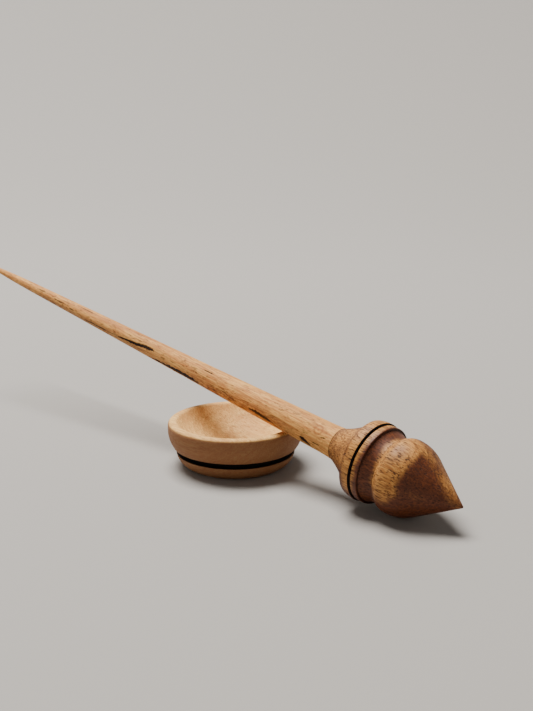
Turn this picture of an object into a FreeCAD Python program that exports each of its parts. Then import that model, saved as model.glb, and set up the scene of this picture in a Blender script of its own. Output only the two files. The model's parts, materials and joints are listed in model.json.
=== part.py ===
"""Support spindle and its bowl: a turned two-wood hand spindle lying with its shaft across a small
wooden bowl.

Units are millimetres and +Z is up.  The origin is the centre of the bowl's foot, on the table.
The spindle's axis lies in a plane parallel to XZ.  Its point is towards +X, and its shaft rises
towards -X over the bowl's rim.

The two pieces of the spindle are drawn in a frame of their own: the origin is the point of the
belly and +Z runs along the axis to the shaft's far tip, so a height there is called a station.
"""
import FreeCAD, Part
import math
import os
import Sketcher

DIMENSIONS = [
    # support bowl
    ("bowl_radius", 27.5, "outside of the rim"),
    ("bowl_height", 18.35, "table to rim"),
    ("wall_top", 15.0, "height where the outside wall stands upright"),
    ("waist_radius", 25.2, "lower edge of the wall, above the burnt line"),
    ("foot_radius", 19.6, "flat that stands on the table"),
    ("foot_top_radius", 24.2, "upper edge of the foot, below the burnt line"),
    ("foot_curve", 7.6, "rounded side of the foot"),
    ("line_bottom", 5.5, "lower edge of the burnt line"),
    ("line_top", 7.9, "upper edge of the burnt line"),
    ("line_floor_radius", 21.6, "floor of the burnt line"),
    ("hollow_radius", 24.0, "hollow at the rim"),
    ("hollow_depth", 11.0, "rim to the middle of the hollow"),
    ("lip_round", 1.7, "rounding of both edges of the rim"),
    # belly: the turned whorl with its point
    ("point_round", 0.5, "blunt end of the point"),
    ("bulb_radius", 14.45, "widest part of the bulb"),
    ("bulb_station", 26.1, "station of the widest part"),
    ("bulb_curve", 15.5, "curve from the widest part towards the point"),
    ("crease_station", 30.3, "station of the crease between the bulb and the cove"),
    ("crease_radius", 12.7, "crease between the bulb and the cove"),
    ("cove_top_radius", 14.0, "cove where it runs up to the front ring"),
    ("ring_station", 35.6, "front face of the front ring"),
    ("ring_bevel", 0.25, "bevel on the outer corners of the rings"),
    ("front_ring_radius", 14.9, "front ring"),
    ("front_ring_width", 2.8, "front ring"),
    ("scribe_width", 0.9, "burnt line between the rings, at its mouth"),
    ("scribe_floor_width", 0.5, "burnt line between the rings, at its floor"),
    ("scribe_radius", 13.8, "floor of the burnt line between the rings"),
    ("rear_ring_radius", 15.35, "rear ring at its front edge"),
    ("rear_ring_end_radius", 14.9, "rear ring at its back edge"),
    ("rear_ring_width", 4.4, "rear ring"),
    ("rear_ring_curve", 12.0, "crown of the rear ring"),
    ("neck_radius", 13.8, "neck where it leaves the rear ring"),
    ("neck_curve", 40.0, "hollow curve of the neck"),
    ("joint_station", 56.3, "where belly and shaft meet"),
    ("joint_radius", 6.45, "belly and shaft at the joint"),
    # shaft, with a tenon that is glued into the belly
    ("tenon_radius", 4.0, "tenon"),
    ("tenon_length", 18.0, "tenon"),
    ("tenon_bevel", 0.6, "bevel on the tenon's end"),
    ("glue_line", 0.05, "clearance round the tenon"),
    ("bore_spare", 1.0, "room for glue below the tenon"),
    ("drill_point", 1.8, "cone left by the drill"),
    ("flare_station", 66.0, "where the flare at the joint ends"),
    ("flare_radius", 6.0, "shaft where the flare ends"),
    ("flare_curve", 110.0, "hollow curve of the flare"),
    ("taper_station", 262.0, "where the long taper ends"),
    ("taper_radius", 2.25, "shaft where the long taper ends"),
    ("tip_curve", 1200.0, "curve between the long taper and the tip"),
    ("tip_station", 289.1, "where the rounded tip starts"),
    ("tip_radius", 1.3, "shaft where the rounded tip starts"),
    ("spindle_length", 290.4, "point to far tip"),
    # how the spindle lies on the table and the bowl
    ("lean_angle", 9.68, "rise of the axis above the table, in degrees"),
    ("side_offset", 3.0, "axis to the bowl's middle, along Y"),
    ("rest_gap", 0.12, "clearance between shaft and rim"),
]

VERTICAL_AXIS = -2
HORIZONTAL_AXIS = -1
SKETCH_ORIGIN = (-1, 1)
START, END, CENTRE = 1, 2, 3


def make_sheet():
    """The driving dimensions, one row each: name, value, meaning."""
    sheet = doc.addObject("Spreadsheet::Sheet", "Dimensions")
    for row, (alias, value, meaning) in enumerate(DIMENSIONS, start=1):
        sheet.set("A%d" % row, alias)
        sheet.set("B%d" % row, str(value))
        sheet.set("C%d" % row, meaning)
        sheet.setAlias("B%d" % row, alias)
    doc.recompute()
    return sheet


def bound(formula):
    """A formula in the sheet's names, written as an expression that other objects can use."""
    aliases = [alias for alias, value, meaning in DIMENSIONS]
    words = ["Dimensions." + word if word in aliases else word for word in formula.split()]
    return " ".join(words)


def value_of(formula):
    return float(sheet.evalExpression(bound(formula)))


# ---- half-sections -------------------------------------------------------------------------------
# A corner is (across, along): its distance from the axis and its height, each a formula.
# A formula that starts with "~" is only a first guess, which the section's other rules settle.
# An edge is (first corner, second corner) for a straight one.  An arc adds "left" or "right", the
# side it bulges to on the way from first to second, and its rules:
#     radius=formula, upright_at=corner (runs parallel to the axis there), level_at=corner (square
#     to the axis there).
# A corner in `smooth` joins its two edges without an angle.

def arc(first, second, bulge, radius=None, upright_at=None, level_at=None):
    rules = {"bulge": bulge, "radius": radius, "upright_at": upright_at, "level_at": level_at}
    return (first, second, rules)


def line(first, second):
    return (first, second, None)


def first_arc(start, end, rules):
    """The arc that the sketch starts from, drawn through the middle point that its rules give."""
    chord = end - start
    if rules["radius"]:
        radius = value_of(rules["radius"])
    elif rules["upright_at"]:
        radius = chord.Length ** 2 / abs(2 * chord.x)
    else:
        radius = chord.Length ** 2 / abs(2 * chord.y)
    sagitta = radius - math.sqrt(radius ** 2 - (chord.Length / 2) ** 2)
    left = FreeCAD.Vector(-chord.y, chord.x, 0).normalize()
    side = 1 if rules["bulge"] == "left" else -1
    return Part.Arc(start, start + chord * 0.5 + left * (side * sagitta), end)


def end_nearest(sketch, number, place):
    """The end of a drawn edge that lies at a place: START or END."""
    to_start = (sketch.getPoint(number, START) - place).Length
    to_end = (sketch.getPoint(number, END) - place).Length
    return START if to_start < to_end else END


def tie(sketch, kind, number, end, label, formula, coordinate):
    """Binds one coordinate of an edge's end to the sheet, or to the axis where it is 0."""
    if formula.startswith("~"):
        return
    if formula == "0":
        axis = VERTICAL_AXIS if kind == "DistanceX" else HORIZONTAL_AXIS
        sketch.addConstraint(Sketcher.Constraint("PointOnObject", number, end, axis))
        return
    index = sketch.addConstraint(
        Sketcher.Constraint(kind, *SKETCH_ORIGIN, number, end, coordinate))
    sketch.renameConstraint(index, label)
    sketch.setExpression("Constraints." + label, bound(formula))


def shape_arc(sketch, number, first, ends, rules):
    """Adds an arc's own rules to the sketch; ends maps its two corners to START and END."""
    if rules["radius"]:
        label = "curve_from_" + first
        index = sketch.addConstraint(
            Sketcher.Constraint("Radius", number, sketch.Geometry[number].Radius))
        sketch.renameConstraint(index, label)
        sketch.setExpression("Constraints." + label, bound(rules["radius"]))
    if rules["upright_at"]:
        end = ends[rules["upright_at"]]
        sketch.addConstraint(Sketcher.Constraint("Horizontal", number, end, number, CENTRE))
    if rules["level_at"]:
        end = ends[rules["level_at"]]
        sketch.addConstraint(Sketcher.Constraint("Vertical", number, end, number, CENTRE))


def half_section(body, name, corners, edges, smooth=()):
    """A closed half-section on the body's XZ plane, settled by the sheet."""
    sketch = body.newObject("Sketcher::SketchObject", name)
    plane = [item for item in body.Origin.OriginFeatures if item.Role == "XZ_Plane"][0]
    sketch.AttachmentSupport = [(plane, "")]
    sketch.MapMode = "FlatFace"
    places = {}
    for corner, (across, along) in corners.items():
        places[corner] = FreeCAD.Vector(value_of(across.lstrip("~ ")),
                                        value_of(along.lstrip("~ ")), 0)
    for first, second, rules in edges:
        if rules is None:
            sketch.addGeometry(Part.LineSegment(places[first], places[second]), False)
        else:
            sketch.addGeometry(first_arc(places[first], places[second], rules), False)

    ends = [{corner: end_nearest(sketch, number, places[corner]) for corner in (first, second)}
            for number, (first, second, rules) in enumerate(edges)]
    for number, (first, second, rules) in enumerate(edges):
        following = (number + 1) % len(edges)
        meeting = "Tangent" if second in smooth else "Coincident"
        sketch.addConstraint(Sketcher.Constraint(meeting, number, ends[number][second],
                                                 following, ends[following][second]))
    for number, (first, second, rules) in enumerate(edges):
        across, along = corners[first]
        end = ends[number][first]
        tie(sketch, "DistanceX", number, end, first + "_across", across, places[first].x)
        tie(sketch, "DistanceY", number, end, first + "_along", along, places[first].y)
        if rules is not None:
            shape_arc(sketch, number, first, ends[number], rules)
    solved = sketch.solve() == 0
    doc.recompute()
    print("%-14s %-16s solved %s, fully constrained %s"
          % (body.Label, name, solved, sketch.FullyConstrained))
    return sketch


def turn(body, name, kind, section):
    """A full turn of a half-section: PartDesign::Revolution adds, PartDesign::Groove cuts."""
    before = body.Shape.Volume if body.Tip else 0.0
    feature = body.newObject(kind, name)
    feature.Profile = section
    feature.ReferenceAxis = (section, ["V_Axis"])
    feature.Angle = 360
    doc.recompute()
    after = body.Shape.Volume
    print("%-14s %-16s volume %9.2f -> %9.2f" % (body.Label, name, before, after))
    if kind == "PartDesign::Groove" and after >= before:
        raise RuntimeError(name + " cut nothing")
    return feature


def circle_edges(shape, radius, height):
    """Names of the circular edges of this radius at this height."""
    found = []
    for number, edge in enumerate(shape.Edges, start=1):
        if edge.Degenerated or not isinstance(edge.Curve, Part.Circle):
            continue
        same_radius = abs(edge.Curve.Radius - radius) < 0.01
        if same_radius and abs(edge.Curve.Center.z - height) < 0.01:
            found.append("Edge%d" % number)
    return found


def new_body(name):
    body = doc.addObject("PartDesign::Body", name)
    body.Label = name
    return body


# ---- the pieces ----------------------------------------------------------------------------------

def make_bowl():
    """The bowl that the spindle's point turns in: hollow above, a burnt line above its foot."""
    body = new_body("support_bowl")
    outside = half_section(body, "bowl_outside", {
        "middle": ("0", "0"),
        "foot": ("foot_radius", "0"),
        "foot_top": ("foot_top_radius", "line_bottom"),
        "waist": ("waist_radius", "line_top"),
        "wall": ("bowl_radius", "wall_top"),
        "rim": ("bowl_radius", "bowl_height"),
        "rim_middle": ("0", "bowl_height"),
    }, [
        line("middle", "foot"),
        arc("foot", "foot_top", "right", radius="foot_curve"),
        line("foot_top", "waist"),
        arc("waist", "wall", "right", upright_at="wall"),
        line("wall", "rim"),
        line("rim", "rim_middle"),
        line("rim_middle", "middle"),
    ])
    turn(body, "blank", "PartDesign::Revolution", outside)

    hollow = half_section(body, "bowl_hollow", {
        "bottom": ("0", "bowl_height - hollow_depth"),
        "edge": ("hollow_radius", "bowl_height"),
        "top": ("0", "bowl_height"),
    }, [
        arc("bottom", "edge", "right", level_at="bottom"),
        line("edge", "top"),
        line("top", "bottom"),
    ])
    turn(body, "hollow", "PartDesign::Groove", hollow)

    burnt_line = half_section(body, "bowl_line", {
        "floor_low": ("line_floor_radius", "line_bottom"),
        "mouth_low": ("bowl_radius", "line_bottom"),
        "mouth_high": ("bowl_radius", "line_top"),
        "floor_high": ("line_floor_radius", "line_top"),
    }, [
        line("floor_low", "mouth_low"),
        line("mouth_low", "mouth_high"),
        line("mouth_high", "floor_high"),
        line("floor_high", "floor_low"),
    ])
    groove = turn(body, "burnt_line", "PartDesign::Groove", burnt_line)

    top = value_of("bowl_height")
    rim_edges = circle_edges(groove.Shape, value_of("bowl_radius"), top)
    rim_edges += circle_edges(groove.Shape, value_of("hollow_radius"), top)
    lip = body.newObject("PartDesign::Fillet", "rounded_lip")
    lip.Base = (groove, rim_edges)
    lip.setExpression("Radius", bound("lip_round"))
    doc.recompute()
    return body


def make_belly():
    """The whorl: pointed bulb, cove, two rings with a burnt line between, neck, and a blind bore."""
    body = new_body("spindle_belly")
    front_ring_end = "ring_station + front_ring_width"
    rear_ring_start = front_ring_end + " + scribe_width"
    rear_ring_end = rear_ring_start + " + rear_ring_width"
    scribe_slant = "( scribe_width - scribe_floor_width ) / 2"
    outside = half_section(body, "belly_outside", {
        "point": ("0", "0"),
        "cone_start": ("~ point_round * 0.8", "~ point_round * 0.5"),
        "cone_end": ("~ bulb_radius * 0.82", "~ bulb_station * 0.68"),
        "bulb": ("bulb_radius", "bulb_station"),
        "crease": ("crease_radius", "crease_station"),
        "front_ring_root": ("cove_top_radius", "ring_station"),
        "front_ring_face": ("front_ring_radius - ring_bevel", "ring_station"),
        "front_ring_start": ("front_ring_radius", "ring_station + ring_bevel"),
        "front_ring_end": ("front_ring_radius", front_ring_end),
        "scribe_front": ("scribe_radius", front_ring_end + " + " + scribe_slant),
        "scribe_back": ("scribe_radius", rear_ring_start + " - " + scribe_slant),
        "rear_ring_start": ("rear_ring_radius", rear_ring_start),
        "rear_ring_end": ("rear_ring_end_radius", rear_ring_end + " - ring_bevel"),
        "rear_ring_back": ("rear_ring_end_radius - ring_bevel", rear_ring_end),
        "neck": ("neck_radius", rear_ring_end),
        "joint": ("joint_radius", "joint_station"),
        "joint_middle": ("0", "joint_station"),
    }, [
        arc("point", "cone_start", "right", radius="point_round", level_at="point"),
        line("cone_start", "cone_end"),
        arc("cone_end", "bulb", "right", radius="bulb_curve", upright_at="bulb"),
        arc("bulb", "crease", "right", upright_at="bulb"),
        arc("crease", "front_ring_root", "left", upright_at="crease"),
        line("front_ring_root", "front_ring_face"),
        line("front_ring_face", "front_ring_start"),
        line("front_ring_start", "front_ring_end"),
        line("front_ring_end", "scribe_front"),
        line("scribe_front", "scribe_back"),
        line("scribe_back", "rear_ring_start"),
        arc("rear_ring_start", "rear_ring_end", "right", radius="rear_ring_curve"),
        line("rear_ring_end", "rear_ring_back"),
        line("rear_ring_back", "neck"),
        arc("neck", "joint", "left", radius="neck_curve"),
        line("joint", "joint_middle"),
        line("joint_middle", "point"),
    ], smooth=("cone_start", "cone_end"))
    turn(body, "belly_blank", "PartDesign::Revolution", outside)

    bore_radius = "tenon_radius + glue_line"
    bore_floor = "joint_station - tenon_length - bore_spare"
    bore = half_section(body, "belly_bore", {
        "drill_end": ("0", bore_floor + " - drill_point"),
        "floor": (bore_radius, bore_floor),
        "mouth": (bore_radius, "joint_station"),
        "mouth_middle": ("0", "joint_station"),
    }, [
        line("drill_end", "floor"),
        line("floor", "mouth"),
        line("mouth", "mouth_middle"),
        line("mouth_middle", "drill_end"),
    ])
    turn(body, "tenon_bore", "PartDesign::Groove", bore)
    return body


def make_shaft():
    """The shaft: glued tenon, shoulder, a flare at the joint, a long taper and a rounded tip."""
    body = new_body("spindle_shaft")
    tenon_end = "joint_station - tenon_length"
    section = half_section(body, "shaft_section", {
        "tenon_middle": ("0", tenon_end),
        "tenon_face": ("tenon_radius - tenon_bevel", tenon_end),
        "tenon_side": ("tenon_radius", tenon_end + " + tenon_bevel"),
        "tenon_root": ("tenon_radius", "joint_station"),
        "joint": ("joint_radius", "joint_station"),
        "flare": ("flare_radius", "flare_station"),
        "taper": ("taper_radius", "taper_station"),
        "tip": ("tip_radius", "tip_station"),
        "far_end": ("0", "spindle_length"),
    }, [
        line("tenon_middle", "tenon_face"),
        line("tenon_face", "tenon_side"),
        line("tenon_side", "tenon_root"),
        line("tenon_root", "joint"),
        arc("joint", "flare", "left", radius="flare_curve"),
        line("flare", "taper"),
        arc("taper", "tip", "right", radius="tip_curve"),
        arc("tip", "far_end", "right", level_at="far_end"),
        line("far_end", "tenon_middle"),
    ])
    turn(body, "shaft_turning", "PartDesign::Revolution", section)
    return body


def point_height():
    """Height of the spindle's point when the bulb touches the table.

    The lowest place of the leaning bulb is on the arc next to its widest part.
    """
    lean = math.radians(value_of("lean_angle"))
    curve_across = value_of("bulb_radius - bulb_curve")
    below_point = curve_across * math.cos(lean) + value_of("bulb_curve")
    return below_point - value_of("bulb_station") * math.sin(lean)


def lay_down(belly, shaft, bowl):
    """Places the spindle: bulb on the table, shaft just clear of the bowl's rim."""
    lean = value_of("lean_angle")
    rotation = FreeCAD.Rotation(FreeCAD.Vector(0, 1, 0), lean - 90)
    taper = value_of("( flare_radius - taper_radius ) / ( taper_station - flare_station )")
    closing = math.sin(math.radians(lean)) + 1.05 * taper
    reach = value_of("joint_station + bowl_radius * 3")
    for attempt in range(6):
        place = FreeCAD.Vector(reach, value_of("side_offset"), point_height())
        belly.Placement = FreeCAD.Placement(place, rotation)
        shaft.Placement = FreeCAD.Placement(place, rotation)
        doc.recompute()
        gap = shaft.Shape.distToShape(bowl.Shape)[0]
        reach -= (gap - value_of("rest_gap")) / closing
    print("point at X %.3f, Z %.3f, gap to the rim %.3f" % (place.x, place.z, gap))


def check_and_write(pieces):
    for item in doc.Objects:
        if "Invalid" in item.State or "Error" in item.State:
            raise RuntimeError(item.Name + " is " + str(item.State))
    for piece in pieces:
        if piece.Shape.isNull() or not piece.Shape.isValid() or len(piece.Shape.Solids) != 1:
            raise RuntimeError(piece.Label + " has no single valid solid")
    for piece in pieces:
        piece.Shape.exportStep(os.path.join("parts", piece.Label + ".step"))
        box = piece.Shape.BoundBox
        print("%-14s %8.1f mm3  X %.2f..%.2f  Y %.2f..%.2f  Z %.2f..%.2f"
              % (piece.Label, piece.Shape.Volume, box.XMin, box.XMax, box.YMin, box.YMax,
                 box.ZMin, box.ZMax))


os.makedirs("parts", exist_ok=True)
doc = FreeCAD.newDocument("SupportSpindle")
sheet = make_sheet()
support_bowl = make_bowl()
spindle_belly = make_belly()
spindle_shaft = make_shaft()
lay_down(spindle_belly, spindle_shaft, support_bowl)
check_and_write([support_bowl, spindle_belly, spindle_shaft])
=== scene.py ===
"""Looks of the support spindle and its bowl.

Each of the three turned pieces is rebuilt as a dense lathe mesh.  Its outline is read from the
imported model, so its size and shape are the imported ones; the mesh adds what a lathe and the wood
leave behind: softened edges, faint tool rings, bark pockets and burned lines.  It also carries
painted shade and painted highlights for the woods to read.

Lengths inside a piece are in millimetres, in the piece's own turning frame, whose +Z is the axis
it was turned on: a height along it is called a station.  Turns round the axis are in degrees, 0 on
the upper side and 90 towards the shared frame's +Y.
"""
import json
import math
import random
import bmesh
import bpy
from mathutils import Matrix, Vector, noise


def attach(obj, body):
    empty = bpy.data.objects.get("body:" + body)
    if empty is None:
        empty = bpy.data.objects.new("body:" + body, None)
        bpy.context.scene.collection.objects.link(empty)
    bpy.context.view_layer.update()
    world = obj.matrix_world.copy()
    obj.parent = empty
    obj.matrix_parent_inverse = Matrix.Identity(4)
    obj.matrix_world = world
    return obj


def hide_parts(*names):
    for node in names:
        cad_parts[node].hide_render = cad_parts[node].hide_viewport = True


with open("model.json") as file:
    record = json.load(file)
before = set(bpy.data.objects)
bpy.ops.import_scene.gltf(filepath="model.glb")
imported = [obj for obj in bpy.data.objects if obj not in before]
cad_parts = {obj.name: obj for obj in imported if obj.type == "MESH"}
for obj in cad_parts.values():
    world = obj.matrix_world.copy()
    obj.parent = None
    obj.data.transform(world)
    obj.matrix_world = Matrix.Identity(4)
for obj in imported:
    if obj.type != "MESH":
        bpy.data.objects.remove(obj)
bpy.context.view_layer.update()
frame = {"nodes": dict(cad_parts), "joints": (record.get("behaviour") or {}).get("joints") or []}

MM = 0.001

# Where belly and shaft meet, and the radius of the shaft's hidden tenon, in mm.
JOINT = 56.3
TENON = 4.0


# ---- turning frames ------------------------------------------------------------------------------

def spindle_frame():
    """Origin at the spindle's point, +Z along the axis to the far tip, +Y level."""
    spin = frame["joints"][0]
    along = -Vector(spin["axis"]).normalized()
    level = Vector((0, 1, 0))
    upper = level.cross(along)
    turn = Matrix((upper, level, along)).transposed().to_4x4()
    return Matrix.Translation(Vector(spin["pos_m"])) @ turn


SPINDLE_FRAME = spindle_frame()
BOWL_FRAME = Matrix.Identity(4)


# ---- outlines ------------------------------------------------------------------------------------

SAME_PLACE = 0.003


def seam_of(node, placement):
    """The places on a turned mesh's seam and, for each of them, the places next to it.

    The seam is the row of edges in the half-plane of the turning frame's +X.
    """
    to_local = placement.inverted()
    mesh = frame["nodes"][node].data
    place, spot_of = {}, {}
    for vertex in mesh.vertices:
        point = to_local @ vertex.co / MM
        if abs(point.y) > SAME_PLACE or point.x < -SAME_PLACE:
            continue
        spot = (round(point.x / SAME_PLACE), round(point.z / SAME_PLACE))
        place.setdefault(spot, Vector((max(point.x, 0.0), point.z)))
        spot_of[vertex.index] = spot
    beside = {spot: set() for spot in place}
    for edge in mesh.edges:
        first, second = (spot_of.get(index) for index in edge.vertices)
        if first is not None and second is not None and first != second:
            beside[first].add(second)
            beside[second].add(first)
    return place, beside


def outline_of(node, placement):
    """The node's half-section as a list of (radius, height) in mm, walked along its seam from the
    lower end on the axis to the upper one."""
    place, beside = seam_of(node, placement)
    ends = sorted((spot for spot in place if len(beside[spot]) == 1), key=lambda s: place[s].y)
    if len(ends) != 2:
        raise RuntimeError("the seam of %s has %d ends" % (node, len(ends)))
    walk, here, before = [], ends[0], None
    while here is not None:
        walk.append(place[here])
        ahead = [spot for spot in beside[here] if spot != before]
        before, here = here, (ahead[0] if ahead else None)
    return walk


def turn_at(before, here, after):
    """How far the outline turns at a point, in degrees."""
    return math.degrees((here - before).angle(after - here))


def hermite(start, into, end, out, share):
    """A place on the smooth curve that leaves `start` along `into` and meets `end` along `out`."""
    s2, s3 = share * share, share ** 3
    return (start * (2 * s3 - 3 * s2 + 1) + into * (s3 - 2 * s2 + share)
            + end * (3 * s2 - 2 * s3) + out * (s3 - s2))


def smooth_outline(points, step, soften, sharp=20.0):
    """The outline with a point at least every `step` mm.  Curves run smoothly through the packed
    points, and each sharp corner is eased over `soften` mm, as sandpaper leaves it."""
    last = len(points) - 1
    corner = [number in (0, last) or turn_at(points[number - 1], points[number],
                                             points[number + 1]) > sharp
              for number in range(last + 1)]
    dense = [points[0].copy()]
    for number in range(last):
        start, end = points[number], points[number + 1]
        span = (end - start).length
        into = out = end - start
        if not corner[number]:
            into = (end - points[number - 1]).normalized() * span
        if not corner[number + 1]:
            out = (points[number + 2] - start).normalized() * span
        count = max(1, math.ceil(span / step))
        shares = {part / count for part in range(1, count + 1)}
        easing = min(soften / span, 0.3)
        if corner[number] and number > 0:
            shares |= {easing, easing / 2}
        if corner[number + 1] and number + 1 < last:
            shares |= {1 - easing, 1 - easing / 2}
        for share in sorted(shares):
            dense.append(hermite(start, into, end, out, share))
            at_corner = corner[number + 1] and number + 1 < last and share == 1
            if at_corner:
                following = points[number + 2] - end
                inward = (start - end).normalized() + following.normalized()
                dense[-1] += inward * min(soften, span / 3, following.length / 3) * 0.25
    return dense


# ---- turned meshes -------------------------------------------------------------------------------

def lathe(name, outline, placement, around, surface):
    """A closed mesh turned from an outline whose two ends are on the axis, in the shared frame.

    surface(turn, radius, station) returns how far the surface is cut in at one place, in mm, and
    the values from 0 to 1 that the material reads there, by name.
    """
    form = bmesh.new()
    layers = {value: form.verts.layers.float.new(value) for value in surface(0, 1, 1)[1]}
    rings = []
    for number, point in enumerate(outline):
        ahead = outline[min(number + 1, len(outline) - 1)]
        along = (ahead - outline[max(number - 1, 0)]).normalized()
        outward = Vector((along.y, -along.x))
        on_axis = number in (0, len(outline) - 1)
        ring = []
        for step in range(1 if on_axis else around):
            angle = 2 * math.pi * step / around
            cut, values = surface(math.degrees(angle), point.x, point.y)
            spot = point if on_axis else point - outward * max(cut, 0.0)
            local = Vector((spot.x * math.cos(angle), spot.x * math.sin(angle), spot.y))
            vertex = form.verts.new(placement @ (local * MM))
            for value, amount in values.items():
                vertex[layers[value]] = amount
            ring.append(vertex)
        rings.append(ring)
    for lower, upper in zip(rings[:-1], rings[1:]):
        for step in range(around):
            following = (step + 1) % around
            if len(lower) == 1:
                corners = (lower[0], upper[following], upper[step])
            elif len(upper) == 1:
                corners = (lower[step], lower[following], upper[0])
            else:
                corners = (lower[step], lower[following], upper[following], upper[step])
            form.faces.new(corners).smooth = True
    bmesh.ops.recalc_face_normals(form, faces=form.faces)
    mesh = bpy.data.meshes.new(name)
    form.to_mesh(mesh)
    form.free()
    piece = bpy.data.objects.new(name, mesh)
    bpy.context.scene.collection.objects.link(piece)
    return piece


def unit(value):
    """The value, held between 0 and 1."""
    return min(1.0, max(0.0, value))


def peak(value, middle, reach):
    """1 where the value is at the middle, falling in a straight line to 0 at the reach."""
    return max(0.0, 1 - abs(value - middle) / reach)


def short_way(turn, middle):
    """The angle from the turn `middle` to `turn`, the short way round, in radians."""
    return math.radians((turn - middle + 180) % 360 - 180)


def wavering(turn, station, across, along, seed):
    """Smooth noise from -1 to 1 on a turned surface, seamless all the way round."""
    angle = math.radians(turn)
    return noise.noise(Vector((math.cos(angle) * across + seed, math.sin(angle) * across,
                               station / along)))


class Streak:
    """A mark in the wood that runs from one place to another: a bark pocket, a fungus line."""

    def __init__(self, start, end, widths, depth, dark):
        (self.station, self.turn), (self.last_station, self.last_turn) = start, end
        self.widths, self.depth, self.dark = widths, depth, dark

    def reach(self, turn, radius, station):
        """1 well inside the mark, falling to 0 at its ragged edge."""
        share = (station - self.station) / (self.last_station - self.station)
        if not -0.1 < share < 1.1:
            return 0.0
        middle = self.turn + (self.last_turn - self.turn) * share
        away = short_way(turn, middle) * radius
        width = self.widths[0] + (self.widths[1] - self.widths[0]) * share
        taper = 1 - abs(2 * share - 1) ** 3
        ragged = 0.35 * wavering(turn, station, 4.0, 1.1, self.station)
        ragged += 0.25 * wavering(turn, station, 9.0, 0.5, self.station + 40)
        return unit((taper + ragged - abs(away) / width) * 2.0)


def chance_streaks(seed, count, stations, lengths, widths):
    """Small marks strewn over the whole length, on all sides."""
    chance = random.Random(seed)
    made = []
    for _ in range(count):
        station = chance.uniform(*stations)
        length = chance.uniform(*lengths)
        turn = chance.uniform(0, 360)
        width = chance.uniform(*widths)
        end = (station - length, turn + chance.uniform(-4, 4))
        made.append(Streak((station, turn), end, (width, width), 0.03, chance.uniform(0.25, 0.6)))
    return made


# The shaft's marks, from the far tip to the joint.
SHAFT_STREAKS = [
    # two fungus lines near the far end, and grey flecks between them
    Streak((221, 341), (206, 339), (0.24, 0.34), 0.02, 0.80),
    Streak((216, 253), (192, 262), (0.35, 0.60), 0.04, 0.65),
    Streak((252, 315), (245, 316), (0.60, 0.70), 0.02, 0.55),
    Streak((236, 294), (229, 299), (0.60, 0.65), 0.02, 0.60),
    Streak((225, 281), (221, 282), (0.45, 0.50), 0.02, 0.65),
    # the long dark crack with a fork at its thick end
    Streak((188, 264), (167, 281), (0.45, 1.05), 0.22, 1.0),
    Streak((174, 284), (160, 292), (0.95, 1.25), 0.15, 0.85),
    Streak((193, 262), (186, 265), (0.20, 0.30), 0.05, 0.6),
    # the bark edge on the underside that ends in a step
    Streak((168, 224), (129, 237), (1.2, 3.0), 0.55, 0.95),
    Streak((131, 324), (124, 325), (0.32, 0.36), 0.08, 0.95),
    Streak((117, 311), (115, 312), (0.18, 0.22), 0.03, 0.60),
    Streak((114, 316), (111, 317), (0.18, 0.22), 0.03, 0.65),
    Streak((107, 318), (105, 318), (0.18, 0.18), 0.03, 0.50),
    # the pocket above the bowl's rim and the hole next to it
    Streak((101, 256), (86, 248), (1.15, 1.25), 0.20, 0.80),
    Streak((72.5, 250), (65.5, 230), (1.6, 1.6), 0.55, 1.0),
    # two nicks by the joint
    Streak((62, 290), (59, 296), (0.25, 0.32), 0.10, 0.90),
    Streak((66, 258), (61, 261), (0.30, 0.36), 0.12, 0.85),
] + chance_streaks(4, 190, (62, 262), (1.4, 4.0), (0.16, 0.30))

# Soft brown stains; those along the underside (turns 240 to 255) are also painted shade there:
# middle station and turn, reach along and round in mm, strength.
SHAFT_STAINS_AND_SHADE = (
    (118, 245, 34, 3.2, 0.85),
    (90, 255, 18, 3.4, 0.70),
    (190, 248, 40, 2.0, 0.60),
    (228, 240, 48, 1.8, 0.70),
    (150, 70, 40, 4.0, 0.50),
)

# A small ringed knot: station and turn, and its radius in mm.
SHAFT_KNOT = (64.0, 312.0)
KNOT_RADIUS = 4.0


def blob(turn, radius, station, middle, reach):
    """1 in the middle of a soft patch and 0 outside it."""
    away = short_way(turn, middle[1]) * radius
    return max(0.0, 1 - math.hypot((station - middle[0]) / reach[0], away / reach[1]))


def patched(turn, radius, station, patches):
    """The strongest of several soft patches at one place, each full over its inner half."""
    strongest = 0.0
    for middle, side, along, across, strength in patches:
        soft = blob(turn, radius, station, (middle, side), (along, across))
        strongest = max(strongest, strength * min(1.0, soft * 2))
    return strongest


def knotted(turn, radius, station):
    """The knot's dark heart and the dark ring round it."""
    away = 1 - blob(turn, radius, station, SHAFT_KNOT, (KNOT_RADIUS, KNOT_RADIUS))
    return max(0.7 * peak(away, 0.45, 0.16), 0.9 * peak(away, 0.0, 0.16))


# Each surface is cut in by a little more than its wave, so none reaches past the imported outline.

def shaft_surface(turn, radius, station):
    cut = 0.03 + 0.025 * wavering(turn, station, 0.7, 16.0, 5.0)
    mark = 0.0
    for streak in SHAFT_STREAKS:
        reach = streak.reach(turn, radius, station)
        if reach > 0:
            mark = max(mark, reach * streak.dark)
            cut = max(cut, streak.depth * reach + 0.02)
    if radius > TENON + 0.5:
        mark = max(mark, 0.8 * peak(station, JOINT, 0.25))
    below = 0.5 - 0.5 * math.cos(math.radians(turn - 70))
    # The stains along the underside are also painted shade.
    return cut, {"mark": mark,
                 "stain_and_shade": patched(turn, radius, station, SHAFT_STAINS_AND_SHADE),
                 "knot": knotted(turn, radius, station),
                 "flecked": 0.25 + 0.75 * below}


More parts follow.
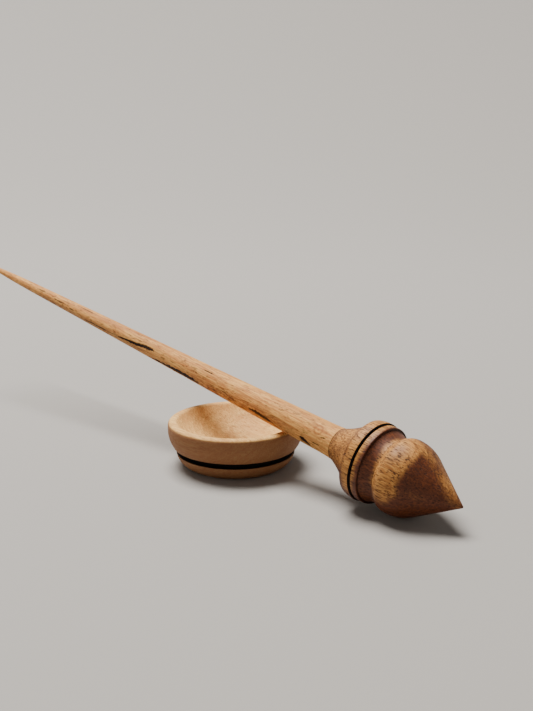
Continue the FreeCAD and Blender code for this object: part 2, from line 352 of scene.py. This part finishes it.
# Burned lines and darkened edges, and painted shade at ring edges and in the crease: lower station,
# upper station, fade in mm, strength.
BELLY_BURNS_AND_SHADE = (
    (38.4, 39.3, 0.12, 1.0),        # the line between the rings
    (35.45, 35.6, 0.10, 0.45),      # the front ring's front edge: a darkened edge, and painted shade on its step
    (43.60, 43.75, 0.16, 0.60),     # the rear ring's back edge: a darkened edge, and painted shade in the corner by the neck
    (30.2, 30.4, 0.40, 0.35),       # painted shade in the crease behind the bulb
)
BOWL_SCORCHES = (
    (5.5, 7.9, 0.16, 1.0),
)

# Lighter sapwood in the belly, given as for the stains of the shaft.  The patches sit where the
# light falls, on the upper and -Y sides, so they are also painted highlights; the one on the rings
# (station 40) is a painted highlight only.
BELLY_PALE_AND_LIT = (
    (25.5, 322, 8, 17, 1.0),
    (25.5, 280, 7, 12, 0.70),
    (16, 15, 16, 9, 0.30),
    (50, 300, 12, 15, 0.50),
    (40, 330, 4.5, 30, 0.90),
)


def burn_and_shade_at(radius, station, bands, inner):
    """How dark the bands make the wood, from 0 to 1: burned lines, darkened edges and painted shade;
    nothing is darkened inside the radius `inner`.
    """
    if radius <= inner:
        return 0.0
    burn_and_shade_level = 0.0
    for low, high, fade, strength in bands:
        beyond = max(low - station, station - high, 0.0)
        burn_and_shade_level = max(burn_and_shade_level, strength * max(0.0, 1 - beyond / fade))
    return burn_and_shade_level


def belly_surface(turn, radius, station):
    cut = 0.02 + 0.014 * wavering(turn, station, 0.8, 5.0, 11.0)
    # Burned lines, the glue line and darkened ring edges, with painted shade at ring edges and
    # crease.
    burn_and_shade_level = burn_and_shade_at(radius, station, BELLY_BURNS_AND_SHADE, inner=6.0)
    glue_line = 0.8 * peak(station, JOINT, 0.2)
    # The pale patches are sapwood and also painted highlights where the light falls on the upper
    # side.
    return cut, {"burn_and_shade": max(burn_and_shade_level, glue_line),
                 "pale_and_lit": patched(turn, radius, station, BELLY_PALE_AND_LIT)}


# Heights on the bowl, in mm: the foot's upper side, the edge of the lip, where the painted shade of
# the outer wall ends, and the thin painted dark line there.
FOOT_TOP = 5.5
LIP_EDGE = 18.0
LIP_LINE = 17.5


def bowl_surface(turn, radius, station):
    cut = 0.02 + 0.016 * wavering(turn, station, 1.2, 8.0, 23.0)
    burn_and_shade = burn_and_shade_at(radius, station, BOWL_SCORCHES, inner=21.0)
    if station < FOOT_TOP + 0.5:
        burn_and_shade *= unit((24.0 - radius) / 0.6)
    outside = 0.0
    # Painted shade darkens the outer wall below the lip, with a thin painted dark line near its top.
    outer_side = radius > 14.6 + 0.55 * station
    if outer_side:
        outside = unit((LIP_EDGE - station) / 0.6)
        burn_and_shade = max(burn_and_shade, 0.35 * peak(station, LIP_LINE, 0.3))
    return cut, {"burn_and_shade": burn_and_shade, "outside": outside}


# ---- materials -----------------------------------------------------------------------------------

class Nodes:
    """Short names for the shader nodes that the woods are made of."""

    def __init__(self, name, placement=None):
        self.material = bpy.data.materials.new(name)
        self.material.use_nodes = True
        self.tree = self.material.node_tree
        self.shader = self.tree.nodes["Principled BSDF"]
        shared = self.add("ShaderNodeTexCoord").outputs["Object"]
        turning = self.add("ShaderNodeMapping", vector_type="TEXTURE")
        self.feed(turning.inputs["Vector"], shared)
        if placement is not None:
            turning.inputs["Location"].default_value = placement.to_translation()
            turning.inputs["Rotation"].default_value = placement.to_euler()
        self.place = self.vector("SCALE", turning.outputs[0], scale=1 / MM)

    def add(self, kind, **settings):
        node = self.tree.nodes.new(kind)
        for key, value in settings.items():
            setattr(node, key, value)
        return node

    def feed(self, socket, value):
        if isinstance(value, bpy.types.NodeSocket):
            self.tree.links.new(value, socket)
        else:
            socket.default_value = value

    def math(self, operation, first, second=0.0, clamp=False):
        node = self.add("ShaderNodeMath", operation=operation, use_clamp=clamp)
        self.feed(node.inputs[0], first)
        self.feed(node.inputs[1], second)
        return node.outputs[0]

    def vector(self, operation, first, second=(0, 0, 0), scale=None):
        node = self.add("ShaderNodeVectorMath", operation=operation)
        self.feed(node.inputs[0], first)
        if scale is None:
            self.feed(node.inputs[1], second)
        else:
            self.feed(node.inputs["Scale"], scale)
        return node.outputs[1 if operation in ("LENGTH", "DISTANCE", "DOT_PRODUCT") else 0]

    def stretched(self, scales, offset=(0, 0, 0)):
        """The place in the wood, moved and then scaled along each of its axes."""
        moved = self.vector("ADD", self.place, offset)
        return self.vector("MULTIPLY", moved, scales)

    def noise(self, where, detail=3.0, rough=0.55):
        node = self.add("ShaderNodeTexNoise")
        self.feed(node.inputs["Vector"], where)
        for key, value in (("Scale", 1.0), ("Detail", detail), ("Roughness", rough)):
            node.inputs[key].default_value = value
        return node.outputs["Fac"]

    def span(self, value, low, high, to_low=0.0, to_high=1.0):
        """Maps low..high to to_low..to_high softly and holds the ends."""
        node = self.add("ShaderNodeMapRange", clamp=True, interpolation_type="SMOOTHSTEP")
        for key, number in zip(("Value", "From Min", "From Max", "To Min", "To Max"),
                               (value, low, high, to_low, to_high)):
            self.feed(node.inputs[key], number)
        return node.outputs[0]

    def blend(self, share, first, second, mode="MIX"):
        node = self.add("ShaderNodeMix", data_type="RGBA", blend_type=mode)
        self.feed(node.inputs[0], share)
        self.feed(node.inputs[6], rgba(first))
        self.feed(node.inputs[7], rgba(second))
        return node.outputs[2]

    def attribute(self, name):
        return self.add("ShaderNodeAttribute", attribute_name=name).outputs["Fac"]

    def year_rings(self, grain, pith, width, wander, sharp=3.0):
        """0 in the light early wood, rising to 1 in the thin dark line that ends each year.

        `grain` is 0 on the axis that the fibres follow and 1 on the other two; `pith` is the
        heart of the tree, in mm from the origin.
        """
        drift = self.noise(self.stretched([0.05 if g else 0.008 for g in grain]), detail=2.0)
        flat = self.vector("MULTIPLY", self.vector("SUBTRACT", self.place, pith), grain)
        distance = self.vector("LENGTH", flat)
        wavy = self.math("ADD", distance, self.math("MULTIPLY", drift, wander))
        phase = self.math("FRACT", self.math("DIVIDE", wavy, width))
        return self.math("POWER", phase, sharp)

    def finish(self, colour, roughness, heights, specular):
        """heights is a list of (height, strength, distance in mm), the coarsest first."""
        self.feed(self.shader.inputs["Base Color"], colour)
        self.feed(self.shader.inputs["Roughness"], roughness)
        self.shader.inputs["Specular IOR Level"].default_value = specular
        normal = None
        for height, strength, distance in heights:
            bump = self.add("ShaderNodeBump")
            bump.inputs["Strength"].default_value = strength
            bump.inputs["Distance"].default_value = distance * MM
            self.feed(bump.inputs["Height"], height)
            if normal is not None:
                self.feed(bump.inputs["Normal"], normal)
            normal = bump.outputs[0]
        self.feed(self.shader.inputs["Normal"], normal)
        return self.material


def rgba(colour):
    """A plain colour with its alpha added; a socket is passed on as it is."""
    if isinstance(colour, (tuple, list)) and len(colour) == 3:
        return (*colour, 1.0)
    return colour


def srgb(red, green, blue):
    """A colour as it is named on screen, 0 to 255, as the linear values that Blender mixes."""
    return tuple(((c / 255 + 0.055) / 1.055) ** 2.4 for c in (red, green, blue))


def shaft_wood():
    """Pale spalted hardwood: fine lengthwise grain, warm patches and dark fungus flecks.
    Brown stains along the underside are also painted shade.
    """
    wood = Nodes("shaft_wood", SPINDLE_FRAME)
    rings = wood.year_rings((1, 1, 0), (-9, 5, 0), 1.3, 6.0, 1.6)
    fibre = wood.noise(wood.stretched((1.5, 1.5, 0.11)), detail=7.0, rough=0.72)
    patch = wood.noise(wood.stretched((0.22, 0.22, 0.03), (3, 8, 40)), detail=4.0)
    colour = wood.blend(wood.span(fibre, 0.36, 0.62), srgb(236, 180, 102), srgb(192, 126, 70))
    colour = wood.blend(wood.math("MULTIPLY", rings, 0.28), colour, srgb(150, 92, 46))
    colour = wood.blend(wood.span(patch, 0.50, 0.70, 0.0, 0.5), colour, srgb(172, 108, 62))
    mottle = wood.noise(wood.stretched((0.9, 0.9, 0.28)), detail=5.0, rough=0.7)
    # Brown stains, which along the underside are also painted shade.
    stain_and_shade = wood.math("MULTIPLY", wood.attribute("stain_and_shade"), wood.span(mottle, 0.38, 0.58, 0.2))
    colour = wood.blend(stain_and_shade, colour, srgb(122, 80, 52))
    where = wood.span(wood.noise(wood.stretched((0.25, 0.25, 0.04), (50, 0, 0)), detail=2.0),
                      0.42, 0.58, 0.45)
    speck = wood.noise(wood.stretched((1.5, 1.5, 0.36), (0, 70, 0)), detail=4.0, rough=0.62)
    where = wood.math("MULTIPLY", where, wood.attribute("flecked"))
    fleck = wood.math("MULTIPLY", where, wood.span(speck, 0.55, 0.61))
    colour = wood.blend(wood.math("MULTIPLY", fleck, 0.8), colour, srgb(84, 44, 18))
    colour = wood.blend(wood.attribute("knot"), colour, srgb(146, 86, 48))
    mark = wood.attribute("mark")
    colour = wood.blend(wood.span(mark, 0.0, 0.9), colour, srgb(34, 17, 9))
    roughness = wood.math("ADD", wood.span(fibre, 0.25, 0.75, 0.60, 0.72),
                          wood.math("MULTIPLY", mark, 0.2))
    return wood.finish(colour, roughness, [(fibre, 0.4, 0.06), (fleck, 0.5, -0.05)], 0.20)


def belly_wood():
    """Brown open-pored hardwood: dark year lines, paler sapwood that is also a painted highlight,
    pores as short dashes, burned lines, and painted shade at ring edges and in the crease.
    """
    wood = Nodes("belly_wood", SPINDLE_FRAME)
    rings = wood.year_rings((1, 1, 0), (-24, 17, 0), 3.1, 14.0, 1.5)
    fibre = wood.noise(wood.stretched((1.7, 1.7, 0.20)), detail=6.0, rough=0.68)
    patch = wood.noise(wood.stretched((0.12, 0.12, 0.05), (14, 3, 9)), detail=4.0)
    heart = wood.blend(wood.span(fibre, 0.34, 0.64), srgb(114, 60, 32), srgb(72, 35, 18))
    sap = wood.blend(wood.span(fibre, 0.34, 0.64), srgb(216, 156, 82), srgb(160, 102, 48))
    # Sapwood patches, which are also painted highlights where the light falls.
    paleness_and_light = wood.math("ADD", wood.attribute("pale_and_lit"), wood.span(patch, 0.3, 0.7, -0.2, 0.2))
    colour = wood.blend(wood.span(paleness_and_light, 0.05, 0.70), heart, sap)
    colour = wood.blend(wood.math("MULTIPLY", rings, 0.35), colour, srgb(78, 36, 16))
    pore = wood.noise(wood.stretched((2.2, 2.2, 0.40), (0, 31, 0)), detail=3.0, rough=0.5)
    crowd = wood.noise(wood.stretched((0.35, 0.35, 0.1), (9, 0, 5)), detail=2.0)
    pores = wood.math("MULTIPLY", wood.span(pore, 0.55, 0.61), wood.span(crowd, 0.34, 0.54, 0.55))
    colour = wood.blend(wood.math("MULTIPLY", pores, 0.85), colour, srgb(58, 28, 14))
    # Burned lines, the glue line and darkened edges, with painted shade at ring edges and in the
    # crease.
    burn_and_shade = wood.attribute("burn_and_shade")
    colour = wood.blend(wood.span(burn_and_shade, 0.0, 0.9), colour, srgb(22, 10, 6))
    roughness = wood.math("ADD", wood.span(pores, 0.0, 1.0, 0.50, 0.66),
                          wood.math("MULTIPLY", burn_and_shade, 0.25))
    return wood.finish(colour, roughness, [(fibre, 0.3, 0.04), (pores, 0.6, -0.08)], 0.26)


def bowl_wood():
    """Pale even hardwood: soft wide figure and very fine fibre, running along the bowl's X.  Painted
    shade darkens the outside below the lip, as if out of the light."""
    wood = Nodes("bowl_wood")
    rings = wood.year_rings((0, 1, 1), (0, 22, -30), 2.9, 7.0, 1.8)
    fibre = wood.noise(wood.stretched((0.12, 1.7, 1.7)), detail=6.0, rough=0.66)
    patch = wood.noise(wood.stretched((0.03, 0.11, 0.11)), detail=3.0)
    colour = wood.blend(wood.span(fibre, 0.34, 0.64), srgb(248, 206, 132), srgb(218, 164, 98))
    colour = wood.blend(wood.math("MULTIPLY", rings, 0.32), colour, srgb(178, 122, 70))
    colour = wood.blend(wood.span(patch, 0.44, 0.64, 0.0, 0.4), colour, srgb(196, 138, 82))
    pore = wood.noise(wood.stretched((0.42, 2.6, 2.6)), detail=3.0)
    pores = wood.span(pore, 0.57, 0.64)
    colour = wood.blend(wood.math("MULTIPLY", pores, 0.45), colour, srgb(124, 74, 34))
    # Painted shade on the outer wall below the lip.
    outer_wall_shade = wood.math("MULTIPLY", wood.attribute("outside"), 0.82)
    colour = wood.blend(outer_wall_shade, colour, srgb(116, 70, 50))
    # The burned groove above the foot, and a thin painted dark line near the lip's outer edge.
    burn_and_shade = wood.attribute("burn_and_shade")
    colour = wood.blend(wood.span(burn_and_shade, 0.0, 0.9), colour, srgb(18, 9, 6))
    roughness = wood.math("ADD", wood.span(fibre, 0.25, 0.75, 0.58, 0.70),
                          wood.math("MULTIPLY", burn_and_shade, 0.2))
    return wood.finish(colour, roughness, [(fibre, 0.3, 0.05), (pores, 0.4, -0.04)], 0.18)


# ---- pieces --------------------------------------------------------------------------------------

# How far sandpaper has eased each sharp corner, in mm.
SANDED = 0.12


def turned_piece(node, placement, body, material, surface, around, step):
    """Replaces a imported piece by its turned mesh: `around` places round the axis and rings at most
    `step` mm apart."""
    outline = smooth_outline(outline_of(node, placement), step, SANDED)
    piece = lathe(node + "_turned", outline, placement, around, surface)
    piece.data.materials.append(material)
    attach(piece, body)
    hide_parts(node)


# ---- stage, light and camera ---------------------------------------------------------------------

# The floor is this far below the pieces' undersides, so that they don't share a plane.
FLOOR_GAP = 0.0001


def make_floor():
    """A round studio sweep: flat in the middle, rising ever more steeply all round."""
    flat, reach, height = 0.5, 1.6, 1.6
    around, parts = 96, 24
    turns = [2 * math.pi * step / around for step in range(around)]
    form = bmesh.new()
    rings = []
    for part in range(parts + 1):
        share = part / parts
        radius, level = flat + reach * share, height * share ** 3
        rings.append([form.verts.new((radius * math.cos(turn), radius * math.sin(turn), level))
                      for turn in turns])
    form.faces.new(rings[0])
    for lower, upper in zip(rings[:-1], rings[1:]):
        for step in range(around):
            following = (step + 1) % around
            face = form.faces.new((lower[step], lower[following], upper[following], upper[step]))
            face.smooth = True
    mesh = bpy.data.meshes.new("floor")
    form.to_mesh(mesh)
    form.free()
    floor = bpy.data.objects.new("floor", mesh)
    bpy.context.scene.collection.objects.link(floor)
    floor.location.z = -FLOOR_GAP
    paper = Nodes("floor_paper")
    paper.shader.inputs["Base Color"].default_value = (0.375, 0.358, 0.345, 1)
    paper.shader.inputs["Roughness"].default_value = 0.8
    mesh.materials.append(paper.material)


def softbox(name, place, aim, size, watts, colour):
    """A rectangular studio lamp at `place`, turned towards `aim`."""
    lamp = bpy.data.lights.new(name, "AREA")
    lamp.shape = "RECTANGLE"
    lamp.size, lamp.size_y = size
    lamp.energy = watts
    lamp.color = colour
    holder = bpy.data.objects.new(name, lamp)
    holder.location = place
    holder.rotation_euler = (Vector(aim) - Vector(place)).to_track_quat("-Z", "Y").to_euler()
    bpy.context.scene.collection.objects.link(holder)


def make_world(strength):
    """Even, faint light from all sides."""
    world = bpy.data.worlds.new("studio")
    world.use_nodes = True
    background = world.node_tree.nodes["Background"]
    background.inputs["Color"].default_value = (1.0, 0.98, 0.95, 1)
    background.inputs["Strength"].default_value = strength
    bpy.context.scene.world = world


def make_camera():
    """Stands 0.44 m from the bowl and looks across it, 14 degrees down."""
    azimuth, pitch = math.radians(44.4), math.radians(14.03)
    lens = bpy.data.cameras.new("camera")
    lens.sensor_width = 36.0
    lens.lens = 54.08
    lens.clip_start = 0.01
    camera = bpy.data.objects.new("camera", lens)
    camera.location = (0.2995, -0.2878, 0.1489)
    camera.rotation_euler = (math.pi / 2 - pitch, 0, azimuth)
    bpy.context.scene.collection.objects.link(camera)
    bpy.context.scene.camera = camera


turned_piece("spindle_shaft", SPINDLE_FRAME, "spindle", shaft_wood(),
             shaft_surface, around=144, step=0.40)
turned_piece("spindle_belly", SPINDLE_FRAME, "spindle", belly_wood(),
             belly_surface, around=256, step=0.32)
turned_piece("support_bowl", BOWL_FRAME, "bowl", bowl_wood(),
             bowl_surface, around=320, step=0.36)
make_floor()
make_camera()
make_world(0.06)
softbox("key", place=(-0.64, 0.12, 1.80), aim=(0, 0, 0), size=(1.1, 1.0), watts=84.0,
        colour=(1.0, 0.97, 0.91))
